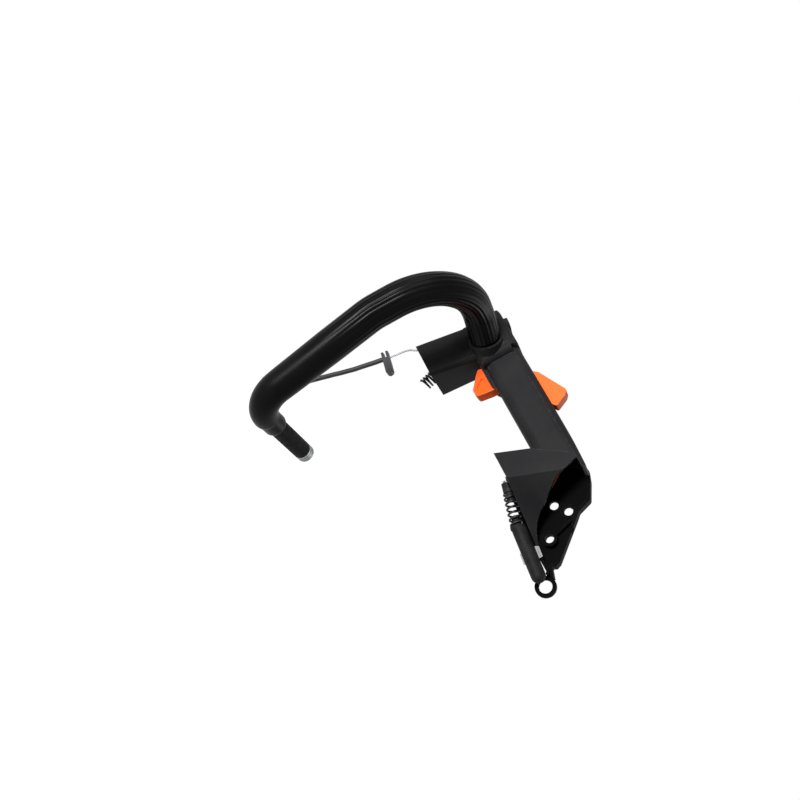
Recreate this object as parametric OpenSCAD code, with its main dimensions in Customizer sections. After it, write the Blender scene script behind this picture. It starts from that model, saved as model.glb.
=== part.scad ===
// Handle assembly of a top-handle chain saw: a moulded housing with grip, front leg
// and rear foot, a bent handlebar in a soft sleeve, the trigger and its lockout, the
// throttle cable, and the springs that carry the handle on the saw.
// +X points to the front of the saw, +Y to its left, +Z up. Shapes are drawn from the
// front end of the grip, and the whole is then moved so that the origin lies in the
// upper bolt hole of the rear plate, on the plate's outer face.

/* [Grip] */
// Length of the grip between the head and the rear foot
grip_len = 84; // [74:1:100]
// Width of the grip
grip_w = 31; // [29:0.5:34]
// Height of the grip, from its underside to the top of its cover
grip_h = 33.7; // [32.7:0.1:37]
// Radius of the long edges of the grip
grip_edge_r = 9; // [7:0.5:10]
// Wall of the moulded housing
wall = 2.6; // [2.2:0.1:3]
// Depth of the cover above its parting line
cover_depth = 5.5; // [5:0.25:6.5]
// Wall of the cover
cover_wall = 2.4; // [2:0.1:2.8]

/* [Head and leg] */
// Length of the head, from its rear shoulder to its front face
head_len = 44; // [41:0.5:47]
// Width of the head
head_w = 40; // [38:1:44]
// Radius of the edges of the head
head_edge_r = 6; // [4:0.5:7]
// Height of the leg below the underside of the grip
leg_h = 43.5; // [40:0.5:50]
// Width of the leg at its open bottom
leg_w = 46; // [42:1:50]
// Length of the leg at its open bottom, front to rear
leg_len = 33.5; // [31:0.5:36]

/* [Rear foot] */
// Height of the foot below the underside of the grip, at its front edge
foot_h = 28; // [24:0.5:32]
// Length of the flat side panel of the foot
foot_len = 24.5; // [21:0.5:26]
// Rise of the flare of the foot to the left at its bottom
foot_flare = 7; // [4:0.5:8]

/* [Rear plate] */
// Thickness of the plate
plate_t = 3; // [2.5:0.1:4]
// Height of the rim, from the inner face of the plate
rim_h = 5.5; // [4:0.5:7]
// Thickness of the rim
rim_t = 2.4; // [2:0.1:3]
// Diameter of the three bolt holes
bolt_hole_d = 7.5; // [6:0.1:8.5]
// Bore of the ring at the tail of the plate
ring_bore_d = 11; // [9:0.5:12]
// Wall of the ring at the tail
ring_wall = 3.3; // [2.5:0.1:4]

/* [Handlebar] */
// Outer diameter of the steel tube
tube_d = 16; // [14:0.5:17]
// Wall of the steel tube
tube_wall = 1.8; // [1.2:0.1:2.4]
// Reach of the handlebar to the left of the middle of the grip
bar_reach = 112; // [104:1:125]
// Depth of the handlebar below the grip's datum
bar_drop = 193.5; // [186:0.5:205]
// Radius of the upper bend, at the middle of the tube
top_bend_r = 55; // [45:1:56]
// Radius of the lower bend, at the middle of the tube
low_bend_r = 25; // [23:0.5:30]
// Diameter of the sleeve where it starts at the clamp
sleeve_start_d = 26.5; // [25:0.5:27]
// Diameter of the sleeve where the hand holds it
sleeve_d = 28.5; // [27:0.5:31]
// Height of the lengthwise ribs of the sleeve
sleeve_rib_h = 0.6; // [0.3:0.1:1]
// Number of lengthwise ribs on the sleeve
sleeve_ribs = 20; // [12:1:24]

/* [Clamp] */
// Radius of the collar that holds the tube
collar_r = 15; // [14.75:0.25:16.5]
// Depth to which the tube sits in the head
tube_seat = 13; // [11:0.5:14]
// Diameter of the clamp screws
clamp_screw_d = 4.5; // [4:0.25:4.5]

/* [Trigger and lockout] */
// Width of the trigger
trigger_w = 12; // [10:0.5:13]
// Diameter of the pins of the trigger and the lockout
pin_d = 4; // [3:0.25:4.5]
// Width of the lockout
lockout_w = 11; // [9:0.5:12]
// Height of the lockout above the cover
lockout_rise = 16.5; // [12:0.5:18]

/* [Springs] */
// Outer diameter of the front spring
front_spring_d = 12; // [11:0.5:13]
// Free length of the front spring
front_spring_len = 17.5; // [15:0.5:22]
// Wire of the front spring
front_wire_d = 1.8; // [1.4:0.1:2.2]
// Outer diameter of the rear spring
rear_spring_d = 12; // [11:0.2:12.4]
// Free length of the rear spring
rear_spring_len = 28; // [26:1:30]
// Wire of the rear spring
rear_wire_d = 1.8; // [1.4:0.1:2]

/* [Cable] */
// Diameter of the bare inner wire
wire_d = 1.6; // [1.2:0.1:2]
// Diameter of the outer sheath
sheath_d = 4.4; // [4:0.1:5.2]

/* [Fits] */
// Radial clearance of a pin in a bore that turns on it
run_clear = 0.05; // [0.02:0.01:0.1]
// Radial clearance of a piece that is fixed in its seat
seat_clear = 0.05; // [0.02:0.01:0.1]
// Gap beside a moving piece
side_gap = 0.8; // [0.6:0.1:1]

/* [Hidden] */
$fn = 48;

// Small number that keeps cuts clear of the faces they open
eps = 0.02;

// Heights of the grip
under_z = -19.2;
top_z = under_z + grip_h;
part_z = top_z - cover_depth;

// Places along the grip, from front to rear
head_front_x = 28;
head_lift = 1;
head_rear_x = head_front_x - head_len;
foot_x = head_rear_x - grip_len;
cover_rear_x = foot_x - 37;
cover_front_x = head_rear_x + 5;

// Left and right faces
side_y = grip_w / 2;
inner_y = side_y - wall;
plate_in_y = -side_y;
plate_out_y = plate_in_y - plate_t;

// Colours
black_plastic = [0.07, 0.07, 0.07];
orange_plastic = [1, 0.39, 0];
soft_black = [0.09, 0.09, 0.1];
dark_steel = [0.16, 0.16, 0.17];
bright_steel = [0.6, 0.6, 0.6];
grey_rubber = [0.3, 0.3, 0.3];

// Points of a polygon whose corners are rounded; each corner is [x, y, radius]
function corner_dir(p, q) = [q[0] - p[0], q[1] - p[1]] / norm([q[0] - p[0], q[1] - p[1]]);
function corner_arc(a, p, b, steps) =
    let (u = corner_dir(p, a), v = corner_dir(p, b), half = acos(u * v) / 2,
         mid = (u + v) / norm(u + v), c = [p[0], p[1]] + mid * p[2] / sin(half),
         s = [p[0], p[1]] + u * p[2] / tan(half), e = [p[0], p[1]] + v * p[2] / tan(half),
         a0 = atan2(s[1] - c[1], s[0] - c[0]), a1 = atan2(e[1] - c[1], e[0] - c[0]),
         turn = a1 - a0 > 180 ? a1 - a0 - 360 : a1 - a0 < -180 ? a1 - a0 + 360 : a1 - a0)
    [for (i = [0:steps]) c + p[2] * [cos(a0 + turn * i / steps), sin(a0 + turn * i / steps)]];
function rounded(pts, steps = 5) = let (n = len(pts)) [for (i = [0:n - 1])
    each (pts[i][2] > 0 ? corner_arc(pts[(i + n - 1) % n], pts[i], pts[(i + 1) % n], steps)
                        : [[pts[i][0], pts[i][1]]])];

// A profile drawn in X and Z, carried from y0 to y1
module across(y0, y1) translate([0, y1, 0]) rotate([90, 0, 0]) linear_extrude(y1 - y0) children();

// A profile drawn in Y and Z, carried from x0 to x1
module lengthwise(x0, x1) translate([x0, 0, 0]) rotate([90, 0, 90]) linear_extrude(x1 - x0) children();

// Turns the Z axis to the direction d at the point p
module along(p, d) translate(p) rotate([0, acos(d[2] / norm(d)), atan2(d[1], d[0])]) children();

// Section of the grip with its cover, drawn in Y and Z
module grip_section(inset = 0) {
    w = side_y - inset;
    r = grip_edge_r - inset;
    polygon(rounded([[-w, under_z + inset, r], [w, under_z + inset, r],
        [w, top_z - inset, r], [-w, top_z - inset, r]]));
}

// Handlebar: its corners and bend radii, from the end in the head to the bare end
bar_entry = [4.3, head_w / 2, -6.9];
bar_lift = [16.5, 48, -1.6];
bar_dir = (bar_lift - bar_entry) / norm(bar_lift - bar_entry);
bar_seat = bar_entry - bar_dir * tube_seat;
bar_end_y = 2;
bar_corners = [bar_seat, bar_lift, [21.2, bar_reach, -2.8], [23, bar_reach - 2, -78],
    [3.4, bar_reach - 4.2, -bar_drop - 0.6], [2.2, bar_end_y, -bar_drop]];
lift_bend_r = 40;
side_bend_r = 60;
bar_bend_r = [0, lift_bend_r, top_bend_r, side_bend_r, low_bend_r, 0];

function unit(v) = v / norm(v);
function turn_angle(p, k, q) = acos(unit(k - p) * unit(q - k));
function tangent_len(i) = bar_bend_r[i] == 0 ? 0
    : bar_bend_r[i] * tan(turn_angle(bar_corners[i - 1], bar_corners[i], bar_corners[i + 1]) / 2);
function bend_start(i) = bar_corners[i] - unit(bar_corners[i] - bar_corners[i - 1]) * tangent_len(i);
function bend_end(i) = i == 0 ? bar_corners[0]
    : bar_corners[i] + unit(bar_corners[i + 1] - bar_corners[i]) * tangent_len(i);
function bend_normal(i) =
    unit(cross(bar_corners[i] - bar_corners[i - 1], bar_corners[i + 1] - bar_corners[i]));
function bend_out(i) = cross(unit(bar_corners[i] - bar_corners[i - 1]), bend_normal(i));
function bend_centre(i) = bend_start(i) - bend_out(i) * bar_bend_r[i];

// Rings of a swept skin: each ring is [centre, direction]
function bend_rings(i, steps) =
    let (ang = turn_angle(bar_corners[i - 1], bar_corners[i], bar_corners[i + 1]),
         a = bend_out(i), u = unit(bar_corners[i] - bar_corners[i - 1]), c = bend_centre(i))
    [for (k = [0:steps]) let (t = ang * k / steps)
        [c + bar_bend_r[i] * (a * cos(t) + u * sin(t)), u * cos(t) - a * sin(t)]];
function straight_rings(p, q, steps) =
    [for (k = [0:steps]) [p + (q - p) * k / steps, unit(q - p)]];
function ring_frame(d, ref) = let (s = unit(ref - d * (d * ref))) [s, cross(d, s)];
function ring_points(ring, radii, ref = [1, 0, 0]) = let (fr = ring_frame(ring[1], ref), n = len(radii))
    [for (j = [0:n - 1]) ring[0] + radii[j] * (fr[0] * cos(360 * j / n) + fr[1] * sin(360 * j / n))];

// Quads between m rings of n points, which start at point number first
function skin_faces(m, n, first, outwards) =
    [for (i = [0:m - 2]) for (j = [0:n - 1])
        let (a = first + i * n, b = a + n, k = (j + 1) % n)
        outwards ? [a + j, b + j, b + k, a + k] : [a + k, b + k, b + j, a + j]];

// A closed skin over m rings of n points each
module swept_solid(points, m, n) {
    faces = concat(skin_faces(m, n, 0, true), [[for (j = [0:n - 1]) j]],
        [[for (j = [n - 1:-1:0]) (m - 1) * n + j]]);
    polyhedron(points = points, faces = faces, convexity = 6);
}

// A pipe over m rings of n points each, with its outer rings first and then its inner ones
module swept_pipe(points, m, n) {
    last = (m - 1) * n;
    faces = concat(skin_faces(m, n, 0, true), skin_faces(m, n, m * n, false),
        [for (j = [0:n - 1]) let (k = (j + 1) % n) [j, k, m * n + k, m * n + j]],
        [for (j = [0:n - 1]) let (k = (j + 1) % n)
            [last + m * n + j, last + m * n + k, last + k, last + j]]);
    polyhedron(points = points, faces = faces, convexity = 8);
}
function same(r, n) = [for (j = [1:n]) r];

// Clamp: frame on the tube's axis, with X down, Y to the rear and Z outwards
clamp_out = 1;
clamp_in = tube_seat + 2;
clamp_rear = 10;
clamp_front = 19.5;
clamp_screw_y = -12.8;
clamp_screw_z = [-11, -2.6];
clamp_gap = 0.1;
clamp_screw_depth = 12;
clamp_block_h = 25;
clamp_block_r = 6.2;
clamp_head_h = 20.5;
clamp_head_d = 1.75 * clamp_screw_d;
module on_tube() along(bar_entry, bar_dir) children();
module clamp_zone(gap) translate([-60, -clamp_front + gap, -clamp_in + gap])
    cube([60 - gap, clamp_front + clamp_rear - 2 * gap, 60]);
module collar() on_tube() translate([0, 0, -clamp_in]) cylinder(h = clamp_in + clamp_out, r = collar_r);
module tube_bore() along(bar_seat, bar_dir) cylinder(h = 60, d = tube_d + 2 * seat_clear);
module clamp_screw_places() on_tube() for (z = clamp_screw_z)
    translate([0, clamp_screw_y, z]) rotate([0, -90, 0]) children();
module clamp_block(t0, t1, r) {
    clamp_screw_places() translate([0, 0, t0]) cylinder(h = t1 - t0, r = r);
    on_tube() translate([-t1, clamp_screw_y - r + 0.3, clamp_screw_z[0]])
        cube([t1 - t0, 2 * r - 0.6, clamp_screw_z[1] - clamp_screw_z[0]]);
}
// Room for the start of the sleeve, which runs into the head
module sleeve_socket() on_tube() translate([0, 0, clamp_out])
    cylinder(h = 60, d = sleeve_start_d + 0.6);

// Head: a block with rounded edges between the grip and the leg
head_low_z = under_z - 2;
head_high_z = top_z + head_lift;
function head_rect(x0, x1, y0, y1) = rounded([[x0, y0, head_edge_r], [x1, y0, head_edge_r],
    [x1, y1, head_edge_r], [x0, y1, head_edge_r]], 7);
module head_block() intersection() {
    across(-head_w / 2, head_w / 2) polygon(head_rect(head_rear_x, head_front_x, head_low_z, head_high_z));
    lengthwise(head_rear_x, head_front_x) polygon(head_rect(-head_w / 2, head_w / 2, head_low_z, head_high_z));
    translate([0, 0, head_low_z]) linear_extrude(head_high_z - head_low_z)
        polygon(head_rect(head_rear_x, head_front_x, -head_w / 2, head_w / 2));
}

// Leg: tapers outwards from the head to its open bottom
leg_bottom_z = under_z - leg_h;
leg_front_x = head_front_x + 5.2;
leg_top_front_x = head_front_x - 0.4;
leg_top_rear_x = head_rear_x + 9;
leg_shift = 1;
module leg_ring(x0, x1, w, shift, z, r, inset) translate([0, -shift, z]) linear_extrude(0.4)
    polygon(rounded([[x0 + inset, -w + inset, r], [x1 - inset, -w + inset, r],
        [x1 - inset, w - inset, r], [x0 + inset, w - inset, r]], 4));
module leg_solid(inset, top, bottom) hull() {
    leg_ring(leg_top_rear_x, leg_top_front_x, head_w / 2 - 1, 0, top, 5, inset);
    leg_ring(leg_front_x - leg_len, leg_front_x, leg_w / 2, leg_shift, bottom, 4, inset);
}

// Rear foot: a channel that is open to the right, where the plate closes it. Its left panel
// flares outwards from the side of the grip down to its bottom edge, and from the fold at
// the panel's rear edge a web runs back to the plate.
foot_top_z = 7;
foot_bottom_z = under_z - foot_h;
foot_low_z = foot_bottom_z - 10;
foot_lip = 6.5;
foot_front = [[foot_low_z, foot_lip + 3.2], [foot_bottom_z, foot_lip], [under_z, -4], [foot_top_z, -22]];
fold_lean = 0.335;
web_lean = 0.169;
web_tip = 69;
foot_slope = 0.12;
function foot_side(z) = side_y + foot_flare * (foot_top_z - z) / (foot_top_z - foot_bottom_z);
function foot_ring(z, past) = let (x = foot_x + lookup(z, foot_front), y = foot_side(z),
         fold = foot_x + foot_lip - foot_len - fold_lean * (z - foot_bottom_z),
         tip = foot_x - web_tip - web_lean * (z - foot_bottom_z),
         reach = (y - plate_in_y + past) / (y - plate_in_y))
    [[x, y], [fold, y], [fold + (tip - fold) * reach, plate_in_y - past], [x, plate_in_y - past]];
module foot_slab(z, inset, past) translate([0, 0, z]) linear_extrude(0.3) offset(delta = -inset)
    polygon(foot_ring(z, past));
module foot_solid(inset = 0, past = 0) hull() for (z = [foot_top_z, under_z, foot_low_z])
    foot_slab(z, inset, past);
function foot_floor(x) = foot_bottom_z - foot_slope * max(0, foot_x + foot_lip - foot_len - x);
module below_floor(lift) across(-40, 40) polygon([[foot_x + 30, foot_bottom_z + lift],
    [foot_x + foot_lip - foot_len, foot_bottom_z + lift], [foot_x - 90, foot_floor(foot_x - 90) + lift],
    [foot_x - 90, -90], [foot_x + 30, -90]]);

// Edge of the web that leaves the foot open to the rear, in X and Z
web_edge = [[-17, 30], [-27.6, 9], [-29.5, 3], [-31.8, -5], [-33.3, -10.5], [-35.3, -15.6],
    [-39.2, -22.4], [-44.2, -29.7], [-48.4, -37], [-52.6, -42.6], [-56, -45.6], [-59.4, -47.9],
    [-63.8, -50], [-69.4, -52], [-76, -53.2]];
module behind_web() across(-60, 60) polygon(concat([for (p = web_edge) [foot_x + p[0], p[1]]],
    [[foot_x - 100, -54], [foot_x - 100, 30]]));

// Trigger and lockout: places of their pins
trigger_pivot = [head_rear_x - 1, -12];
lockout_pivot = [head_rear_x - 15, 4];
hub_r = 5;
pin_skin = 1.2;
pin_len = grip_w - pin_skin - 0.4;
spring_boss_r = 6.5;
lug_r = 5;
slot_w = trigger_w + 2 * side_gap;
trigger_slot_x = [head_rear_x - 26, head_rear_x + 8];
lockout_slot_x = [head_rear_x - 62.8, head_rear_x - 16];
slot_rim_x = [head_rear_x - 22, head_rear_x - 16];
slot_rim_w = slot_w / 2 + 1.8;
slot_rim_h = 3;

// Screws of the cover and of the plate
cover_screw_x = [foot_x + 14, foot_x + 2.5];
plate_screw_at = [[foot_x - 5, -38], [foot_x - 5, -8], [foot_x - 12.5, -41]];
post_r = 4;
screw_d = 4;
flat_head_h = 1.8;

// Front spring: its axis leaves the leg's bottom at a slant to the rear
front_axis = unit([-0.3, 0, -1]);
front_seat_at = [15.8, -7, leg_bottom_z + 9];
// Rear spring: its axis runs down to the rear, out through the open floor of the foot
rear_axis = unit([-70, -8, -18]);
rear_seat_at = [foot_x - 13, 0, foot_bottom_z - 2.3];
rear_lug_t = 5;
rear_lug_side = 9;
floor_gap = [[-4, -13], [-4, 5], [-33, 5], [-39.5, 2.8], [-39.5, -13]];

// Cable: where it leaves the leg's bottom, and the direction of its guide up into the leg
cable_exit = [leg_front_x - 4, 17.6, leg_bottom_z];
cable_up = unit([-6, -3, leg_h]);
guide_d = 4.4;
guide_boss_r = 3.6;
guide_boss_len = 9;

module grip_housing() color(black_plastic) difference() {
    union() {
        difference() {
            union() {
                intersection() {
                    lengthwise(foot_x - 32, head_rear_x + 8) grip_section();
                    translate([-200, -50, -50]) cube([400, 100, 50 + part_z]);
                }
                difference() {
                    head_block();
                    translate([-200, -50, part_z]) cube([200 + cover_front_x, 100, 50]);
                }
                collar();
                // Ribs beside the slot of the trigger
                across(-slot_rim_w, slot_rim_w) polygon([[trigger_slot_x[1], under_z + 0.5],
                    [trigger_slot_x[1], under_z - slot_rim_h], [slot_rim_x[1], under_z - slot_rim_h],
                    [slot_rim_x[0], under_z + 0.5]]);
                leg_solid(0, under_z, leg_bottom_z);
                difference() {
                    foot_solid();
                    below_floor(0);
                }
            }
            // Hollow of the grip, open at the top where the cover closes it
            intersection() {
                lengthwise(foot_x - 60, cover_front_x + 1) grip_section(wall);
                translate([-200, -50, -50]) cube([400, 100, 100]);
            }
            translate([foot_x - 60, -inner_y, part_z - 3])
                cube([60 - foot_x + cover_front_x, 2 * inner_y, 20]);
            // Hollow of the leg, open at the bottom
            leg_solid(wall, under_z - 8, leg_bottom_z - 0.3);
            // Hollow of the foot, open to the right and to the rear
            difference() {
                foot_solid(wall, 2 * wall);
                below_floor(wall);
            }
            behind_web();
            // Room for the rear spring in the floor of the foot
            translate([foot_x, 0, foot_bottom_z - 4]) linear_extrude(wall + 6) polygon(floor_gap);
        }
        // Bosses that carry the two pins
        for (s = [-1, 1]) for (p = [trigger_pivot, lockout_pivot])
            across(s > 0 ? slot_w / 2 + 3.2 : -inner_y - 0.5, s > 0 ? inner_y + 0.5 : -slot_w / 2 - 3.2)
                translate(p) circle(r = hub_r);
        // Posts for the screws of the plate
        for (p = plate_screw_at)
            across(plate_in_y, (p[1] > under_z ? side_y : foot_side(p[1])) - wall / 2)
                translate(p) circle(r = post_r);
        // Posts for the screws of the cover
        for (x = cover_screw_x) translate([x, 0, under_z + 1])
            cylinder(h = part_z - under_z - 1, r = post_r);
        // Bosses in the leg for the front spring, with a rib to the front wall, and for the cable
        intersection() {
            union() {
                along(front_seat_at, -front_axis) cylinder(h = 37, r = spring_boss_r);
                translate([front_seat_at[0], front_seat_at[1] - 1.2, front_seat_at[2] + 3])
                    cube([17, 2.4, 30]);
                along(cable_exit, cable_up) translate([0, 0, -3])
                    cylinder(h = guide_boss_len + 3, r = guide_boss_r);
            }
            leg_solid(wall / 2, under_z - 4, leg_bottom_z);
        }
        // Lug for the rear spring, on a wall that reaches the left panel of the foot
        along(rear_seat_at, rear_axis) {
            cylinder(h = rear_lug_t, r = lug_r);
            translate([-14, -20, 0]) cube([12.5, 20 + rear_lug_side, rear_lug_t]);
        }
    }
    tube_bore();
    sleeve_socket();
    on_tube() clamp_zone(0);
    clamp_screw_places() translate([0, 0, -clamp_screw_depth]) cylinder(h = 60, d = clamp_screw_d);
    // Slot of the trigger, with room for its hub
    translate([trigger_slot_x[0], -slot_w / 2, under_z - 4])
        cube([trigger_slot_x[1] - trigger_slot_x[0], slot_w, 24]);
    for (p = [trigger_pivot, lockout_pivot])
        across(-side_y - 1, side_y - pin_skin) translate(p) circle(d = pin_d + 2 * seat_clear);
    for (p = plate_screw_at) across(-side_y - 1, -side_y + 12) translate(p) circle(d = screw_d - 0.5);
    for (x = cover_screw_x) translate([x, 0, part_z - 14]) cylinder(h = 20, d = screw_d - 0.5);
    along(front_seat_at, -front_axis) translate([0, 0, -2]) cylinder(h = 18, d = screw_d);
    along(rear_seat_at, rear_axis) translate([0, 0, -6]) cylinder(h = 14, d = screw_d + 0.2);
    along(cable_exit, cable_up) translate([0, 0, -3])
        cylinder(h = guide_boss_len + 3.5, d = guide_d + 2 * seat_clear);
}

// Side view of the cover: its top falls away over the foot
cover_fall = [[-25, 1.4, 8], [-14, 0.7, 12], [0, 0.3, 16], [28, 0, 0]];
module cover_side(inset) across(-40, 40) polygon(rounded(concat([[cover_rear_x + inset, -10, 0],
    [cover_rear_x + inset, top_z - 2.1 - inset, 1.6]],
    [for (p = cover_fall) [foot_x + p[0], top_z + eps - p[1] - inset, p[2]]],
    [[cover_front_x - inset, top_z + eps - inset, 0], [cover_front_x - inset, -10, 0]])));
module grip_cover() color(black_plastic) difference() {
    intersection() {
        lengthwise(cover_rear_x - 1, cover_front_x - 0.1) grip_section();
        translate([-200, -50, part_z + 0.05]) cube([400, 100, 50]);
        cover_side(0);
    }
    difference() {
        intersection() {
            lengthwise(cover_rear_x, cover_front_x) grip_section(cover_wall);
            translate([-200, -50, 0]) cube([400, 100, 50]);
            cover_side(cover_wall);
        }
        for (x = cover_screw_x) translate([x, 0, 0]) cylinder(h = 50, r = 5);
    }
    translate([lockout_slot_x[0], -lockout_w / 2 - side_gap, 0])
        cube([lockout_slot_x[1] - lockout_slot_x[0], lockout_w + 2 * side_gap, 40]);
    for (x = cover_screw_x) translate([x, 0, 0]) {
        cylinder(h = 50, d = screw_d + 0.3);
        translate([0, 0, part_z + 2.6]) cylinder(h = 20, d = 2 * screw_d + 0.4);
    }
}

// Rear plate: its outline in X and Z from the rear end of the grip to the ring
bolt_holes = [[-43.5, -25], [-53.5, -17], [-67.5, -41]];
ring_at = [foot_x - 99.1, -61.9];
plate_outline = [[foot_lip - 1, foot_bottom_z + 1, 2], [-6, under_z, 0], [-6, 1, 5], [-18, 1, 4],
    [-23, top_z - 1.3, 4], [-32, top_z - 0.7, 4], [-41, 10.5, 8], [-55.5, 2.5, 4],
    [-59.5, -9.8, 4], [-64, -14.6, 5], [-89.3, -43.1, 1.2], [-90.8, -47.2, 1], [-89, -49.8, 1],
    [-97.5, -52.5, 0.5], [-97, -58, 0.5], [-94.5, -59.5, 0.5], [-90.4, -55.6, 2], [-76, -55.8, 3],
    [-66, -57.2, 3], [-35, -53.6, 3], [-10, foot_bottom_z - 4.8, 1.5], [-8, foot_bottom_z - 0.2, 1]];
module plate_profile(inset = 0) offset(delta = -inset)
    polygon(rounded([for (p = plate_outline) [foot_x + p[0], p[1], p[2]]]));
ring_r = ring_bore_d / 2 + ring_wall;
module ring_disc() translate(ring_at) circle(r = ring_r);
module rear_plate() color(black_plastic) difference() {
    union() {
        across(plate_out_y, plate_in_y) {
            plate_profile();
            ring_disc();
        }
        // Rim round the free edges, from behind the cover
        difference() {
            across(plate_in_y - 1, plate_in_y + rim_h) plate_profile();
            across(plate_in_y - 2, plate_in_y + rim_h + 1) plate_profile(rim_t);
            translate([cover_rear_x - 0.2, -50, -100]) cube([200, 100, 200]);
            across(plate_in_y, plate_in_y + rim_h + 2) translate(ring_at) circle(r = ring_r);
            // The lower rim starts behind the web of the foot
            translate([foot_x - 72, -50, -60]) cube([60, 100, 40]);
        }
        // Bosses round the bolt holes
        for (p = bolt_holes) across(plate_out_y, plate_in_y + 1) translate([foot_x + p[0], p[1]])
            circle(r = bolt_hole_d / 2 + 2.2);
        across(plate_out_y, plate_in_y + 5) translate([foot_x + bolt_holes[2][0], bolt_holes[2][1]])
            circle(r = bolt_hole_d / 2 + 2.6);
        // Rib from the lower boss to the upper rim
        across(plate_out_y, plate_in_y + 3.5) polygon([[foot_x - 68, -36], [foot_x - 66, -36],
            [foot_x - 59, -13], [foot_x - 61, -13]]);
    }
    for (p = bolt_holes) across(plate_out_y - 1, plate_in_y + 20) translate([foot_x + p[0], p[1]])
        circle(d = bolt_hole_d);
    across(plate_out_y - 1, plate_in_y + 20) translate(ring_at) circle(d = ring_bore_d);
    // Room for the buffer and its clip
    on_buffer(-2) cylinder(h = buffer_len + 3, r = buffer_r + 0.4);
    on_buffer(clip_t - 0.4) cylinder(h = clip_w + 0.8, r = buffer_r + clip_thick_r + 0.4);
    for (p = plate_screw_at) {
        across(plate_out_y - 1, plate_in_y + 1) translate(p) circle(d = screw_d + 0.3);
        translate([p[0], plate_out_y, p[1]]) rotate([90, 0, 0]) flat_head(screw_d - 0.6, 0.3);
    }
}

// Handlebar: rings along its bends, shared by the tube and the sleeve
function unique_rings(rings) = [for (k = [0:len(rings) - 1])
    if (k == 0 || norm(rings[k][0] - rings[k - 1][0]) > 0.01) rings[k]];
bar_bend_rings = concat(bend_rings(1, 3), bend_rings(2, 12), bend_rings(3, 3),
    straight_rings(bend_end(3), bend_start(4), 3), bend_rings(4, 9));
tube_sides = 24;
module handlebar_tube() color(dark_steel) {
    rings = unique_rings(concat(straight_rings(bar_seat, bend_start(1), 1), bar_bend_rings,
        straight_rings(bend_end(4), bar_corners[5] - bar_tail_dir * (plug_len + 0.05), 2)));
    points = concat([for (k = rings) each ring_points(k, same(tube_d / 2, tube_sides))],
        [for (k = rings) each ring_points(k, same(tube_d / 2 - tube_wall, tube_sides))]);
    swept_pipe(points, len(rings), tube_sides);
}

// Sleeve: it swells from the clamp to the hand's place, narrows in the lower bend and ends
// in a lip. Its lengthwise ribs run from the clamp to half way down.
sleeve_bore_r = tube_d / 2 + 0.3;
sleeve_sides = 2 * sleeve_ribs;
sleeve_start = bar_entry + bar_dir * (clamp_out + 0.3);
lip_len = 16.5;
lip_r = tube_d / 2 + 2;
bar_tail_dir = unit(bar_corners[5] - bar_corners[4]);
function path_done(rings, k) = k == 0 ? 0
    : path_done(rings, k - 1) + norm(rings[k][0] - rings[k - 1][0]);
sleeve_rings = concat(unique_rings(concat(straight_rings(sleeve_start, bend_start(1), 1), bar_bend_rings)),
    [for (t = [0.6, 1.5, lip_len - 1, lip_len]) [bend_end(4) + bar_tail_dir * t, bar_tail_dir]]);
sleeve_len = path_done(sleeve_rings, len(sleeve_rings) - 5);
sleeve_swell = (sleeve_d - sleeve_start_d) / 2;
function sleeve_r(s) = lookup(s, [[0, sleeve_start_d / 2],
    [30, sleeve_start_d / 2 + 0.12 * sleeve_swell], [70, sleeve_start_d / 2 + 0.7 * sleeve_swell],
    [130, sleeve_d / 2], [185, sleeve_d / 2], [215, sleeve_d / 2 - 0.5],
    [235, sleeve_d / 2 - 0.8], [sleeve_len - 25, sleeve_d / 2 - 1.4],
    [sleeve_len, sleeve_d / 2 - 3.2], [sleeve_len + 0.6, sleeve_d / 2 - 3.4],
    [sleeve_len + 1.5, lip_r], [sleeve_len + lip_len - 1, lip_r], [sleeve_len + lip_len, lip_r - 0.7]]);
function rib_depth(s) = lookup(s, [[0, 1], [150, 1], [190, 0], [sleeve_len, 0]]) * sleeve_rib_h;
module handlebar_sleeve() color(soft_black) {
    m = len(sleeve_rings);
    n = sleeve_sides;
    outer = [for (k = [0:m - 1]) let (s = path_done(sleeve_rings, k))
        each ring_points(sleeve_rings[k], [for (j = [0:n - 1]) sleeve_r(s) - rib_depth(s) * (j % 2)])];
    inner = [for (k = sleeve_rings) each ring_points(k, same(sleeve_bore_r, n))];
    swept_pipe(concat(outer, inner), m, n);
}

// End piece of the handlebar: a bright plug with two grooves and a blind thread
plug_len = 10;
plug_stem_len = 10;
plug_edge = 1;
plug_groove = 0.8;
plug_thread_d = 6;
plug_thread_len = 9.5;
module handlebar_insert() color(bright_steel) along(bar_corners[5], -bar_tail_dir) difference() {
    union() {
        cylinder(h = plug_edge, d1 = tube_d - 2 * plug_edge, d2 = tube_d);
        translate([0, 0, plug_edge]) cylinder(h = plug_len - plug_edge, d = tube_d);
        cylinder(h = plug_len + plug_stem_len,
            r = (tube_d / 2 - tube_wall) * cos(180 / tube_sides) - seat_clear);
    }
    translate([0, 0, -1]) cylinder(h = plug_thread_len + 1, d = plug_thread_d);
    for (t = [3.4, 6.6]) translate([0, 0, t]) difference() {
        cylinder(h = plug_groove, d = tube_d + 2);
        translate([0, 0, -1]) cylinder(h = plug_groove + 2, d = tube_d - 1.2);
    }
}

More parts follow.
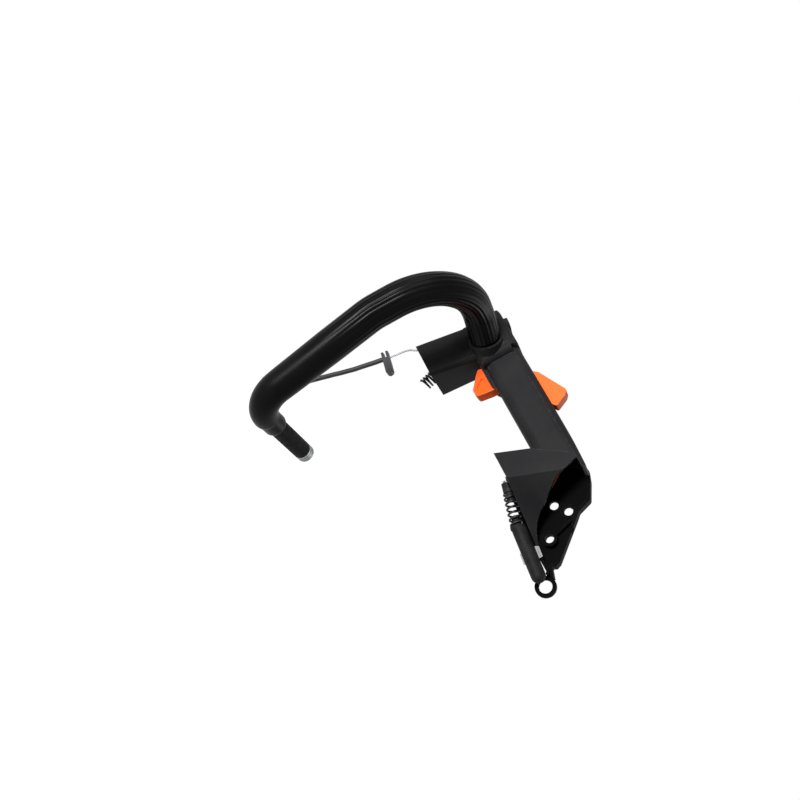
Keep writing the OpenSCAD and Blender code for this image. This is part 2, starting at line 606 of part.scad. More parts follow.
// Clamp cap over the tube, with a block for its two screws
module handlebar_clamp() color(black_plastic) difference() {
    intersection() {
        union() {
            head_block();
            collar();
            clamp_block(0, clamp_block_h, clamp_block_r);
        }
        on_tube() clamp_zone(clamp_gap);
    }
    tube_bore();
    sleeve_socket();
    clamp_screw_places() cylinder(h = 60, d = clamp_screw_d + 0.3);
    clamp_screw_places() translate([0, 0, clamp_head_h]) cylinder(h = 60, d = clamp_head_d + 0.6);
    clamp_block(clamp_block_h, clamp_block_h + 30, clamp_block_r + 0.3);
    translate([-200, -50, part_z - 20]) cube([200 + cover_front_x, 100, 70]);
}
module socket_screw(d, len, head_d, head_h) difference() {
    union() {
        translate([0, 0, -len]) cylinder(h = len, d = d);
        cylinder(h = head_h, d = head_d);
    }
    translate([0, 0, 0.45 * head_h]) cylinder(h = head_h, d = 0.9 * d, $fn = 6);
}
module clamp_screws() color(dark_steel) clamp_screw_places() translate([0, 0, clamp_head_h])
    socket_screw(clamp_screw_d - 0.2, clamp_head_h + clamp_screw_depth - 1, clamp_head_d, 4.2);

// Pan-head screws of the cover and of the plate
module pan_screw(d, len) difference() {
    union() {
        translate([0, 0, -len]) cylinder(h = len, d = d);
        cylinder(h = 0.55 * d, d = 1.9 * d);
    }
    translate([0, 0, 0.3 * d]) cylinder(h = d, d = 0.6 * d, $fn = 6);
}
module cover_screws() color(dark_steel) for (x = cover_screw_x)
    translate([x, 0, part_z + 2.6]) pan_screw(screw_d - 0.6, 14);
module flat_head(d, gap) translate([0, 0, -flat_head_h]) cylinder(h = flat_head_h + eps, d1 = d + gap,
    d2 = 2 * d + gap);
module flat_screw(d, len) difference() {
    union() {
        translate([0, 0, -len]) cylinder(h = len - flat_head_h + eps, d = d);
        flat_head(d, 0);
    }
    translate([0, 0, -0.3 * d]) cylinder(h = d, d = 0.6 * d, $fn = 6);
}
module plate_screws() color(dark_steel) for (p = plate_screw_at)
    translate([p[0], plate_out_y + 0.05, p[1]]) rotate([90, 0, 0]) flat_screw(screw_d - 0.6, plate_t + 10);

// Trigger: a curved finger piece on a hub, with an arm that the lockout stops
trigger_pts = [[-20, -7.5, 2], [-18, -12, 0], [-12.5, -16.5, 1], [-10, -25.5, 2], [-14.3, -29.4, 5],
    [-25.6, -37.8, 2.5], [-32.4, -36.6, 2.5], [-34.3, -25, 4], [-35, -15, 3], [-46.5, -11, 1.5],
    [-46.5, -7.5, 1.5]];
module throttle_trigger() color(orange_plastic) difference() {
    union() {
        across(-trigger_w / 2, trigger_w / 2) polygon(rounded([for (p = trigger_pts)
            [head_rear_x + 16 + p[0], p[1], p[2]]]));
        across(-trigger_w / 2, trigger_w / 2) translate(trigger_pivot) circle(r = hub_r - 0.5);
    }
    across(-20, 20) translate(trigger_pivot) circle(d = pin_d + 2 * run_clear);
    // Recess that lightens each cheek
    for (s = [-1, 1]) across(s > 0 ? trigger_w / 2 - 1.2 : -20, s > 0 ? 20 : -trigger_w / 2 + 1.2)
        polygon(rounded([for (p = [[-17, -24.5, 2], [-25.5, -34, 2], [-30.6, -33.5, 2], [-31.5, -24.5, 2]])
            [head_rear_x + 16 + p[0], p[1], p[2]]]));
}
module pin_at(p) across(side_y - pin_skin - 0.1 - pin_len, side_y - pin_skin - 0.1) translate(p)
    circle(d = pin_d);
module trigger_pin() color(bright_steel) pin_at(trigger_pivot);
module lockout_pin() color(bright_steel) pin_at(lockout_pivot);

// Lockout: a wedge that rises to the rear out of the cover
lockout_pts = [[-34, top_z - 2, 1], [-40, top_z + 4, 2], [-66.5, top_z + lockout_rise, 2.5],
    [-70.5, top_z + lockout_rise - 3.3, 2], [-75.8, top_z + 2.6, 1.5], [-72.3, top_z, 2], [-71, 3, 2],
    [-62, 1, 2], [-58, -2, 2], [-53, -2, 2], [-50, 4, 3], [-38, 6, 3], [-33, 0, 0], [-29, 0, 0]];
module trigger_lockout() color(orange_plastic) difference() {
    union() {
        across(-lockout_w / 2, lockout_w / 2) polygon(rounded([for (p = lockout_pts)
            [head_rear_x + 16 + p[0], p[1], p[2]]]));
        across(-lockout_w / 2, lockout_w / 2) translate(lockout_pivot) circle(r = hub_r - 0.5);
    }
    across(-20, 20) translate(lockout_pivot) circle(d = pin_d + 2 * run_clear);
}

// A coil of round wire: its wire is a skin of few sides swept along a helix
module coil(d, wire, len, turns, per_turn = 12, sides = 6) {
    m = turns * per_turn + 1;
    r = (d - wire) / 2;
    rise = (len - wire) / turns;
    points = [for (i = [0:m - 1])
        let (a = 360 * i / per_turn, o = [cos(a), sin(a), 0],
             c = r * o + [0, 0, wire / 2 + rise * i / per_turn])
        for (j = [0:sides - 1]) let (b = 360 * j / sides)
            c + wire / 2 * (o * cos(b) + [0, 0, 1] * sin(b))];
    swept_solid(points, m, sides);
}
module torsion_spring(p) translate([p[0], slot_w / 2 + 0.1, p[1]]) rotate([-90, 0, 0])
    coil(pin_d + 3.4, 0.9, 2.9, 2.5, 10);
module trigger_spring() color(bright_steel) torsion_spring(trigger_pivot);
module lockout_spring() color(bright_steel) torsion_spring(lockout_pivot);

// Front spring, on a seat in the leg; its far end is free for the saw
spring_seat_h = 3;
module spring_plug(flange_d, stem_d, stem_len, hole_d) difference() {
    union() {
        cylinder(h = spring_seat_h, d = flange_d);
        translate([0, 0, spring_seat_h - eps]) cylinder(h = stem_len, d1 = stem_d, d2 = stem_d - 1);
    }
    translate([0, 0, -1]) cylinder(h = spring_seat_h + stem_len + 2, d = hole_d);
}
module on_front_axis(t) along(front_seat_at + front_axis * t, front_axis) children();
module on_rear_axis(t) along(rear_seat_at + rear_axis * t, rear_axis) children();
front_stem_d = front_spring_d - 2 * front_wire_d - 0.4;
module front_spring_seat() color(black_plastic) on_front_axis(0.05)
    spring_plug(front_spring_d, front_stem_d, 6, screw_d + 0.3);
module front_spring() color(dark_steel) on_front_axis(0.1 + spring_seat_h)
    coil(front_spring_d, front_wire_d, front_spring_len, 5);
module front_spring_screw() color(bright_steel) on_front_axis(0.1 + spring_seat_h + 6)
    pan_screw(screw_d - 0.6, 17);

// Rear spring, between its seat under the foot and a buffer that runs to the tail
rear_stem_d = rear_spring_d - 2 * rear_wire_d - 0.4;
module rear_spring_seat() color(black_plastic) on_rear_axis(rear_lug_t + 0.05)
    spring_plug(rear_spring_d - 2, rear_stem_d, 7, screw_d + 0.3);
rear_spring_t = rear_lug_t + 0.1 + spring_seat_h;
module rear_spring() color(dark_steel) on_rear_axis(rear_spring_t)
    coil(rear_spring_d, rear_wire_d, rear_spring_len, 6);
buffer_t = rear_spring_t + rear_spring_len + 0.05;
buffer_at = rear_seat_at + rear_axis * buffer_t;
buffer_axis = unit([-49.6, -3.1, -4.7]);
buffer_r = 6;
buffer_len = 50;
buffer_flange_h = 3;
buffer_stem_len = 8;
module on_buffer(t) along(buffer_at + buffer_axis * t, buffer_axis) children();
module rear_buffer() color(grey_rubber) {
    on_rear_axis(buffer_t - buffer_stem_len)
        cylinder(h = buffer_stem_len + eps, d1 = rear_stem_d - 1, d2 = rear_stem_d);
    on_rear_axis(buffer_t) cylinder(h = buffer_flange_h, r = buffer_r + 0.2);
    on_buffer(1.2) cylinder(h = buffer_len - buffer_r - 1.2, r = buffer_r);
    on_buffer(buffer_len - buffer_r) sphere(r = buffer_r);
}
// Clip: a half ring on the side of the plate, with a flat tab that shows beside the buffer
clip_t = 22;
clip_w = 9;
clip_thick_r = 1.3;
clip_tab = [[-68, -54], [-70, -58.2], [-77.6, -57.8], [-78.7, -55.5], [-78.5, -52.2], [-69.7, -51.3]];
module rear_buffer_clip() color(bright_steel) difference() {
    union() {
        intersection() {
            on_buffer(clip_t) cylinder(h = clip_w, r = buffer_r + clip_thick_r);
            on_buffer(clip_t - 1) translate([-20, 1, 0]) cube([40, 20, clip_w + 2]);
        }
        across(-10, -8.6) polygon([for (p = clip_tab) [foot_x + p[0], p[1]]]);
    }
    on_buffer(clip_t - 6) cylinder(h = clip_w + 12, r = buffer_r + 0.05);
}
module rear_spring_screw() color(dark_steel) on_rear_axis(-0.05) rotate([180, 0, 0])
    pan_screw(screw_d - 0.6, 14);

// Stop lead inside the foot, an orange insulated wire
stop_lead_d = 3;
stop_lead_route = [[-72, 7.5, -9], [-80, 7.5, -7.5], [-88, 7.5, -5], [-96, 7.3, -1], [-104, 7, 3.5],
    [-110, 6.8, 5.6], [-115.5, 6.4, 6.6], [-119.8, 6, 5.4], [-122.2, 5.6, 2.2], [-123.8, 5, -1.5],
    [-126.1, 4, -6.2], [-129.4, 3, -12], [-132.4, 2, -17], [-135.6, 0.5, -24], [-137.4, -2, -31],
    [-137, -5, -38]];

// A tube of round section along hand-chosen points
function route_dir(pts, i) = unit(pts[min(i + 1, len(pts) - 1)] - pts[max(i - 1, 0)]);
module route_tube(pts, d, sides = 8) {
    points = [for (i = [0:len(pts) - 1]) each ring_points([pts[i], route_dir(pts, i)],
        [for (j = [0:sides - 1]) d / 2], [0, 1, 0])];
    swept_solid(points, len(pts), sides);
}
module stop_lead() color(orange_plastic) route_tube(stop_lead_route, stop_lead_d);

// Throttle cable: bare wire from the leg to a clip, then the sheath
wire_route = [[28.4, 17.2, -56.6], [28.6, 17.3, -58], [28.8, 17.4, -59.5], [29.1, 17.5, -61.1],
    [29.6, 17.7, -62.8], [30.5, 17.8, -64.5], [31.7, 17.9, -66.1], [33, 18, -67.8], [34.1, 18, -69.8],
    [34.9, 18, -72.2], [35.4, 18, -74.8], [35.7, 18, -77.5], [36, 18, -80.2], [36.4, 18, -82.9],
    [36.9, 18, -85.6], [37.5, 18, -88.5]];
sheath_route = [[38.4, 18, -92], [39.2, 18, -96], [40.4, 18, -102], [41.8, 18, -108], [43.2, 18, -114.2],
    [44.6, 18, -120.5], [46.4, 18, -126.6], [48.2, 18, -132.8], [50.3, 18, -139], [52.1, 18, -145.1],
    [53.8, 18, -150.5], [55.4, 18, -156], [57.4, 18, -162.5], [59.8, 18, -170], [62.2, 18, -177]];
guide_len = 6;
module cable_guide() color(black_plastic) along(cable_exit, cable_up) translate([0, 0, 0.5])
    difference() {
        cylinder(h = guide_len, d = guide_d);
        translate([0, 0, -1]) cylinder(h = guide_len + 2, d = wire_d + 0.8);
    }
module cable_wire() color(bright_steel) route_tube(wire_route, wire_d, 8);
module cable_sheath() color(soft_black) route_tube(sheath_route, sheath_d, 10);

// Clip at the end of the sheath: a fork that is closed and rounded at its rear
clip_len = 26;
clip_width = 6.4;
clip_thick = 5.6;
clip_slot = 2;
clip_tilt = 9.5;
clip_at = [38, 18, -90.5];
module cable_clip() color(soft_black) translate(clip_at) rotate([0, -clip_tilt, 0]) difference() {
    translate([-4, 0, 0]) rotate([90, 0, 0]) linear_extrude(clip_thick, center = true) {
        square([clip_len - clip_width, clip_width], center = true);
        translate([-(clip_len - clip_width) / 2, 0]) circle(d = clip_width);
    }
    translate([0, -5, -clip_slot / 2]) cube([20, 10, clip_slot]);
    rotate([0, clip_tilt - 12, 0]) cylinder(h = 20, d = wire_d + 0.4, center = true);
    rotate([0, clip_tilt - 12, 0]) translate([0, 0, -20]) cylinder(h = 18.5, d = sheath_d + 0.1);
}
nipple_len = 6;
sheath_end = sheath_route[len(sheath_route) - 1];
sheath_end_dir = sheath_end - sheath_route[len(sheath_route) - 2];
module cable_nipple() color(bright_steel) along(sheath_end, sheath_end_dir)
    translate([0, 0, 0.05]) cylinder(h = nipple_len - 0.05, d = sheath_d + 1.2);

module placed() translate([-(foot_x + bolt_holes[0][0]), -plate_out_y, -bolt_holes[0][1]]) children();

placed() grip_housing();
placed() grip_cover();
placed() rear_plate();
placed() handlebar_tube();
placed() handlebar_sleeve();
placed() handlebar_insert();
placed() handlebar_clamp();
placed() clamp_screws();
placed() cover_screws();
placed() plate_screws();
placed() throttle_trigger();
placed() trigger_pin();
placed() trigger_spring();
placed() trigger_lockout();
placed() lockout_pin();
placed() lockout_spring();
placed() front_spring();
placed() front_spring_seat();
placed() front_spring_screw();
placed() rear_spring();
placed() rear_spring_seat();
placed() rear_buffer();
placed() rear_buffer_clip();
placed() rear_spring_screw();
placed() stop_lead();
placed() cable_guide();
placed() cable_wire();
placed() cable_clip();
placed() cable_sheath();
placed() cable_nipple();
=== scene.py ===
import math

import bmesh
import bpy
import numpy as np
from mathutils import Matrix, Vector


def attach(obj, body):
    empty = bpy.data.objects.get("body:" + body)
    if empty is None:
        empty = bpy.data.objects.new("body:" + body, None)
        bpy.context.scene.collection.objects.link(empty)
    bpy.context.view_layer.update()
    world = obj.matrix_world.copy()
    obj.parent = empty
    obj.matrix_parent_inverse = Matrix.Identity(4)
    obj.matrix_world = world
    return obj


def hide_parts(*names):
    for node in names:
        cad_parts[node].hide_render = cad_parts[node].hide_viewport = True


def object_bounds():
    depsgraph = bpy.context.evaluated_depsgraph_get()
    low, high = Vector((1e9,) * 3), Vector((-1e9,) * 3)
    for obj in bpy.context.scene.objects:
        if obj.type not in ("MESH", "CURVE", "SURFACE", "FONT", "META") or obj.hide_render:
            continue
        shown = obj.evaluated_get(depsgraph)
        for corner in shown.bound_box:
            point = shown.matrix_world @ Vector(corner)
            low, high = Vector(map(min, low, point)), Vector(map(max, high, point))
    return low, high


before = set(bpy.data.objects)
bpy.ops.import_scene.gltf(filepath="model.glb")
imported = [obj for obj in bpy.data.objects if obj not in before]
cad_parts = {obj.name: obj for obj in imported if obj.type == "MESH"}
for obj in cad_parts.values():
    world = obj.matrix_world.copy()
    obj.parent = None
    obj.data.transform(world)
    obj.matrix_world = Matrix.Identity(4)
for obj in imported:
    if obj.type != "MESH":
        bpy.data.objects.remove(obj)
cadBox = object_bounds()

mm = 0.001
# Shapes are drawn in mm from the front end of the grip; the frame starts in the bolt hole.
gripToFrame = np.array([143.5, 18.5, 25.0])


# A point in mm from the grip's front end becomes a point of the frame in metres: (p + shift) / 1000.
def placed(points):
    return (np.asarray(points, float) + gripToFrame) * mm


def unit(v):
    v = np.asarray(v, float)
    return v / np.linalg.norm(v, axis=-1, keepdims=True)


# Camera

cameraSpec = {
    "place": (-433.8, 759.7, -31.7),  # mm from the grip's front end
    "azimuth": 30.0,  # degrees to the rear of a square look at the left side
    "elevation": 4.3,
    "roll": -61.0,  # the photo holds the handle nose down
    "lens": 45.0,
    "sensor": 36.0,
}


# The camera's back axis points from the object to it; right and up are square to that and
# are turned about it by the roll.
def makeCamera(spec):
    a, e, t = (math.radians(spec[k]) for k in ("azimuth", "elevation", "roll"))
    back = np.array([-math.sin(a) * math.cos(e), math.cos(a) * math.cos(e), math.sin(e)])
    right = np.array([-math.cos(a), -math.sin(a), 0.0])
    up = np.cross(back, right)
    rolledRight = right * math.cos(t) - up * math.sin(t)
    rolledUp = right * math.sin(t) + up * math.cos(t)
    data = bpy.data.cameras.new("photoCamera")
    data.lens = spec["lens"]
    data.sensor_width = spec["sensor"]
    data.clip_start, data.clip_end = 0.01, 50.0
    camera = bpy.data.objects.new("photoCamera", data)
    turn = np.eye(4)
    turn[:3, 0], turn[:3, 1], turn[:3, 2] = rolledRight, rolledUp, back
    turn[:3, 3] = placed(spec["place"])
    camera.matrix_world = Matrix(turn.tolist())
    bpy.context.scene.collection.objects.link(camera)
    bpy.context.scene.camera = camera
    return camera


makeCamera(cameraSpec)
print("camera set")


# Sweeps: rings carried along a path

# Two sides of each ring: side = ref less its part along the path, across = path x side.
def ringSides(tangents, ref):
    tangents = unit(tangents)
    ref = np.asarray(ref, float)
    side = unit(ref - tangents * (tangents @ ref)[:, None])
    return side, np.cross(tangents, side)


# Point (i, j) = centre i + radius (i, j) * (side cos a + across sin a), with a = 2 pi j / n.
def ringGrid(centres, tangents, radii, ref):
    side, across = ringSides(tangents, ref)
    angle = np.linspace(0, 2 * np.pi, radii.shape[1], endpoint=False)
    spoke = side[:, None, :] * np.cos(angle)[None, :, None] + across[:, None, :] * np.sin(angle)[None, :, None]
    return centres[:, None, :] + radii[:, :, None] * spoke


# Quads between the rows of a grid that is closed round its columns, numbered row by row.
def gridQuads(rows, cols, first=0, outwards=True):
    i, j = np.meshgrid(np.arange(rows - 1), np.arange(cols), indexing="ij")
    k = (j + 1) % cols
    a, b = first + i * cols + j, first + (i + 1) * cols + j
    c, d = first + (i + 1) * cols + k, first + i * cols + k
    corners = (a, d, c, b) if outwards else (a, b, c, d)
    return np.stack(corners, -1).reshape(-1, 4)


def bandQuads(ringA, ringB):
    return np.stack([ringA, ringB, np.roll(ringB, -1), np.roll(ringA, -1)], -1)


# A mesh object in the frame, which rides on a body and stands for CAD nodes.
def makePiece(name, verts, faces, material, body, replaces=(), uv=None, smooth=True):
    mesh = bpy.data.meshes.new(name)
    mesh.from_pydata(np.asarray(verts, float).tolist(), [], [list(map(int, f)) for f in faces])
    mesh.update()
    mesh.polygons.foreach_set("use_smooth", np.full(len(mesh.polygons), smooth))
    if uv is not None:
        layer = mesh.uv_layers.new(name="surface")
        corner = np.zeros(len(mesh.loops), np.int32)
        mesh.loops.foreach_get("vertex_index", corner)
        layer.data.foreach_set("uv", np.asarray(uv, np.float32)[corner].ravel())
    piece = bpy.data.objects.new(name, mesh)
    bpy.context.scene.collection.objects.link(piece)
    return dressPiece(piece, material, body, replaces)


def dressPiece(piece, material, body, replaces=()):
    piece.data.materials.clear()
    piece.data.materials.append(material)
    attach(piece, body)
    if replaces:
        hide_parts(*replaces)
    return piece


# A closed round skin over a path: rings, then a flat fan on each end.
def sweptRod(centres, tangents, radii, ref):
    grid = ringGrid(centres, tangents, radii, ref)
    rows, cols = radii.shape
    verts = np.concatenate([grid.reshape(-1, 3), centres[:1], centres[-1:]])
    head, tail = rows * cols, rows * cols + 1
    j = np.arange(cols)
    k = (j + 1) % cols
    last = (rows - 1) * cols
    caps = [(head, b, a) for a, b in zip(k, j)] + [(tail, last + b, last + a) for a, b in zip(j, k)]
    caps = [(a, c, b) for a, b, c in caps]
    return verts, list(gridQuads(rows, cols)) + caps


# Materials

def socketOf(group, name, kind, way, value=None):
    made = group.interface.new_socket(name=name, in_out=way, socket_type=kind)
    if value is not None:
        made.default_value = value
    return made


def addNode(tree, kind, **values):
    node = tree.nodes.new(kind)
    for name, value in values.items():
        setattr(node, name, value)
    return node


def link(tree, a, b):
    tree.links.new(a, b)


# Moulded surface: slow patches tint the colour and the roughness, and a fine grain gives height.
def makeMouldedSkin():
    group = bpy.data.node_groups.new("mouldedSkin", "ShaderNodeTree")
    socketOf(group, "Place", "NodeSocketVector", "INPUT")
    socketOf(group, "Base", "NodeSocketColor", "INPUT", (0.02, 0.02, 0.02, 1))
    socketOf(group, "Patch", "NodeSocketColor", "INPUT", (0.03, 0.03, 0.03, 1))
    socketOf(group, "Patch Scale", "NodeSocketFloat", "INPUT", 30.0)
    socketOf(group, "Grain Scale", "NodeSocketFloat", "INPUT", 1500.0)
    socketOf(group, "Roughness", "NodeSocketFloat", "INPUT", 0.5)
    socketOf(group, "Roughness Spread", "NodeSocketFloat", "INPUT", 0.1)
    socketOf(group, "Colour", "NodeSocketColor", "OUTPUT")
    socketOf(group, "Roughness", "NodeSocketFloat", "OUTPUT")
    socketOf(group, "Height", "NodeSocketFloat", "OUTPUT")
    into, out = addNode(group, "NodeGroupInput"), addNode(group, "NodeGroupOutput")
    patch = addNode(group, "ShaderNodeTexNoise")
    patch.inputs["Detail"].default_value = 4.0
    link(group, into.outputs["Place"], patch.inputs["Vector"])
    link(group, into.outputs["Patch Scale"], patch.inputs["Scale"])
    level = addNode(group, "ShaderNodeMapRange")
    level.inputs["From Min"].default_value = 0.35
    level.inputs["From Max"].default_value = 0.65
    link(group, patch.outputs["Fac"], level.inputs["Value"])
    tint = addNode(group, "ShaderNodeMix", data_type="RGBA")
    link(group, level.outputs["Result"], tint.inputs["Factor"])
    link(group, into.outputs["Base"], tint.inputs["A"])
    link(group, into.outputs["Patch"], tint.inputs["B"])
    link(group, tint.outputs["Result"], out.inputs["Colour"])
    spread = addNode(group, "ShaderNodeMath", operation="MULTIPLY_ADD")
    link(group, level.outputs["Result"], spread.inputs[0])
    link(group, into.outputs["Roughness Spread"], spread.inputs[1])
    link(group, into.outputs["Roughness"], spread.inputs[2])
    link(group, spread.outputs["Value"], out.inputs["Roughness"])
    cells = addNode(group, "ShaderNodeTexVoronoi", feature="F1")
    link(group, into.outputs["Place"], cells.inputs["Vector"])
    link(group, into.outputs["Grain Scale"], cells.inputs["Scale"])
    fine = addNode(group, "ShaderNodeTexNoise")
    fine.inputs["Detail"].default_value = 2.0
    link(group, into.outputs["Place"], fine.inputs["Vector"])
    link(group, into.outputs["Grain Scale"], fine.inputs["Scale"])
    both = addNode(group, "ShaderNodeMath", operation="ADD")
    link(group, cells.outputs["Distance"], both.inputs[0])
    link(group, fine.outputs["Fac"], both.inputs[1])
    link(group, both.outputs["Value"], out.inputs["Height"])
    return group


# Rubbed edges with a painted highlight: where the rounded normal leaves the face's own, broken up by noise, the
# colour turns lighter, on hollow creases as on outer edges; this is partly wear and partly painted rim light.
def makeLitRubbedEdge():
    group = bpy.data.node_groups.new("litRubbedEdge", "ShaderNodeTree")
    socketOf(group, "Place", "NodeSocketVector", "INPUT")
    socketOf(group, "Colour", "NodeSocketColor", "INPUT")
    socketOf(group, "Lit Worn", "NodeSocketColor", "INPUT", (0.1, 0.1, 0.1, 1))
    socketOf(group, "Width", "NodeSocketFloat", "INPUT", 0.001)
    socketOf(group, "Amount", "NodeSocketFloat", "INPUT", 0.5)
    socketOf(group, "Colour", "NodeSocketColor", "OUTPUT")
    socketOf(group, "Mask", "NodeSocketFloat", "OUTPUT")
    into, out = addNode(group, "NodeGroupInput"), addNode(group, "NodeGroupOutput")
    rounded = addNode(group, "ShaderNodeBevel", samples=4)
    link(group, into.outputs["Width"], rounded.inputs["Radius"])
    own = addNode(group, "ShaderNodeNewGeometry")
    same = addNode(group, "ShaderNodeVectorMath", operation="DOT_PRODUCT")
    link(group, rounded.outputs["Normal"], same.inputs[0])
    link(group, own.outputs["Normal"], same.inputs[1])
    edge = addNode(group, "ShaderNodeMapRange")
    edge.inputs["From Min"].default_value = 0.995
    edge.inputs["From Max"].default_value = 0.85
    link(group, same.outputs["Value"], edge.inputs["Value"])
    edgeBreakup = addNode(group, "ShaderNodeTexNoise")
    edgeBreakup.inputs["Scale"].default_value = 260.0
    edgeBreakup.inputs["Detail"].default_value = 3.0
    link(group, into.outputs["Place"], edgeBreakup.inputs["Vector"])
    broken = addNode(group, "ShaderNodeMapRange")
    broken.inputs["From Min"].default_value = 0.4
    broken.inputs["From Max"].default_value = 0.6
    link(group, edgeBreakup.outputs["Fac"], broken.inputs["Value"])
    mask = addNode(group, "ShaderNodeMath", operation="MULTIPLY")
    link(group, edge.outputs["Result"], mask.inputs[0])
    link(group, broken.outputs["Result"], mask.inputs[1])
    share = addNode(group, "ShaderNodeMath", operation="MULTIPLY")
    link(group, mask.outputs["Value"], share.inputs[0])
    link(group, into.outputs["Amount"], share.inputs[1])
    tint = addNode(group, "ShaderNodeMix", data_type="RGBA")
    link(group, share.outputs["Value"], tint.inputs["Factor"])
    link(group, into.outputs["Colour"], tint.inputs["A"])
    link(group, into.outputs["Lit Worn"], tint.inputs["B"])
    link(group, tint.outputs["Result"], out.inputs["Colour"])
    link(group, share.outputs["Value"], out.inputs["Mask"])
    return group


mouldedSkin = makeMouldedSkin()
litRubbedEdge = makeLitRubbedEdge()


def asColour(c):
    return (*c, 1.0)


# A moulded plastic or rubber: skin colours and grain, lighter edges that are partly wear and partly painted
# highlight, one Principled shader.
def mouldedMaterial(name, base, patch, roughness, grain, depth, worn=None, wornShare=0.4,
                    specular=0.3, spread=0.1, patchScale=30.0, edgeWidth=0.0012):
    material = bpy.data.materials.new(name)
    material.use_nodes = True
    tree = material.node_tree
    shader = tree.nodes["Principled BSDF"]
    shader.inputs["Specular IOR Level"].default_value = specular
    place = addNode(tree, "ShaderNodeTexCoord")
    skin = addNode(tree, "ShaderNodeGroup", node_tree=mouldedSkin)
    link(tree, place.outputs["Object"], skin.inputs["Place"])
    skin.inputs["Base"].default_value = asColour(base)
    skin.inputs["Patch"].default_value = asColour(patch)
    skin.inputs["Patch Scale"].default_value = patchScale
    skin.inputs["Grain Scale"].default_value = grain
    skin.inputs["Roughness"].default_value = roughness
    skin.inputs["Roughness Spread"].default_value = spread
    colour = skin.outputs["Colour"]
    if worn is not None:
        edge = addNode(tree, "ShaderNodeGroup", node_tree=litRubbedEdge)
        link(tree, place.outputs["Object"], edge.inputs["Place"])
        link(tree, colour, edge.inputs["Colour"])
        edge.inputs["Lit Worn"].default_value = asColour(worn)
        edge.inputs["Width"].default_value = edgeWidth
        edge.inputs["Amount"].default_value = wornShare
        colour = edge.outputs["Colour"]
    link(tree, colour, shader.inputs["Base Color"])
    link(tree, skin.outputs["Roughness"], shader.inputs["Roughness"])
    bump = addNode(tree, "ShaderNodeBump")
    bump.inputs["Strength"].default_value = 1.0
    bump.inputs["Distance"].default_value = depth
    link(tree, skin.outputs["Height"], bump.inputs["Height"])
    link(tree, bump.outputs["Normal"], shader.inputs["Normal"])
    return material


# A metal: the same skin, with its own metallic share.
def metalMaterial(name, base, patch, roughness, grain, depth, metallic=1.0, **more):
    material = mouldedMaterial(name, base, patch, roughness, grain, depth, **more)
    material.node_tree.nodes["Principled BSDF"].inputs["Metallic"].default_value = metallic
    return material


# The worn colours are the lighter edge tones: partly wear, partly a painted highlight on the edges.
finishes = {
    "housing": mouldedMaterial("housingPlastic", (0.013, 0.013, 0.014), (0.02, 0.02, 0.021), 0.4, 1800.0,
                               0.00005, worn=(0.09, 0.09, 0.095), specular=0.03),
    "cover": mouldedMaterial("coverPlastic", (0.014, 0.014, 0.015), (0.02, 0.02, 0.021), 0.4, 1800.0,
                             0.00005, worn=(0.08, 0.08, 0.085), specular=0.03),
    # The rear plate is the housing's plastic; its near-black base is painted shade for the shade it sits in
    # behind the web.
    "plate": mouldedMaterial("plateShadePaintedPlastic", (0.0012, 0.0012, 0.0014), (0.002, 0.002, 0.0022), 0.4, 1500.0,
                             0.00004, worn=(0.03, 0.03, 0.031), wornShare=0.3, specular=0.008),
    "sleeve": mouldedMaterial("sleeveRubber", (0.0015, 0.0016, 0.0019), (0.003, 0.0031, 0.0034), 0.26, 2200.0,
                              0.00002, specular=0.052, patchScale=22.0),
    "tube": metalMaterial("tubeCoating", (0.006, 0.006, 0.0065), (0.022, 0.022, 0.023), 0.5, 700.0,
                          0.00025, metallic=0.0, specular=0.03, patchScale=240.0, spread=0.25),
    "darkSteel": metalMaterial("darkZincSteel", (0.1, 0.1, 0.105), (0.17, 0.17, 0.175), 0.35, 1200.0,
                               0.00002, worn=(0.4, 0.4, 0.41)),
    "brightSteel": metalMaterial("brightSteel", (0.5, 0.5, 0.51), (0.6, 0.6, 0.6), 0.3, 1400.0, 0.00001),
    "plugSteel": metalMaterial("plugSteel", (0.16, 0.17, 0.165), (0.26, 0.27, 0.26), 0.4, 1400.0, 0.00002),
    "clipSteel": metalMaterial("clipSteel", (0.06, 0.06, 0.062), (0.09, 0.09, 0.093), 0.42, 1400.0, 0.00002),
    "springSteel": metalMaterial("springSteel", (0.02, 0.02, 0.021), (0.035, 0.035, 0.036), 0.36, 1500.0,
                                 0.00002),
    "orange": mouldedMaterial("triggerOrange", (0.88, 0.085, 0.002), (0.92, 0.1, 0.004), 0.5, 1600.0,
                              0.00005, worn=(0.95, 0.24, 0.09), wornShare=0.25, specular=0.15),
    "lockout": mouldedMaterial("lockoutOrange", (0.86, 0.13, 0.015), (0.9, 0.16, 0.025), 0.5, 1600.0,
                               0.00005, worn=(0.95, 0.34, 0.15), wornShare=0.35, specular=0.15),
    "lead": mouldedMaterial("leadOrange", (0.5, 0.045, 0.006), (0.62, 0.07, 0.01), 0.4, 900.0, 0.00003),
    "plainBlack": mouldedMaterial("plainBlackPlastic", (0.008, 0.008, 0.0085), (0.013, 0.013, 0.0135), 0.5,
                                  1700.0, 0.00004, specular=0.15),
    "buffer": mouldedMaterial("bufferRubber", (0.006, 0.006, 0.0065), (0.015, 0.015, 0.0155), 0.5, 900.0,
                              0.0001, specular=0.08, patchScale=120.0),
    "cable": mouldedMaterial("cablePlastic", (0.012, 0.012, 0.0145), (0.02, 0.02, 0.023), 0.42, 1500.0,
                             0.00003, specular=0.3),
    "wire": metalMaterial("cableSteel", (0.2, 0.2, 0.21), (0.3, 0.3, 0.31), 0.35, 2600.0, 0.00004),
}
print("materials made")
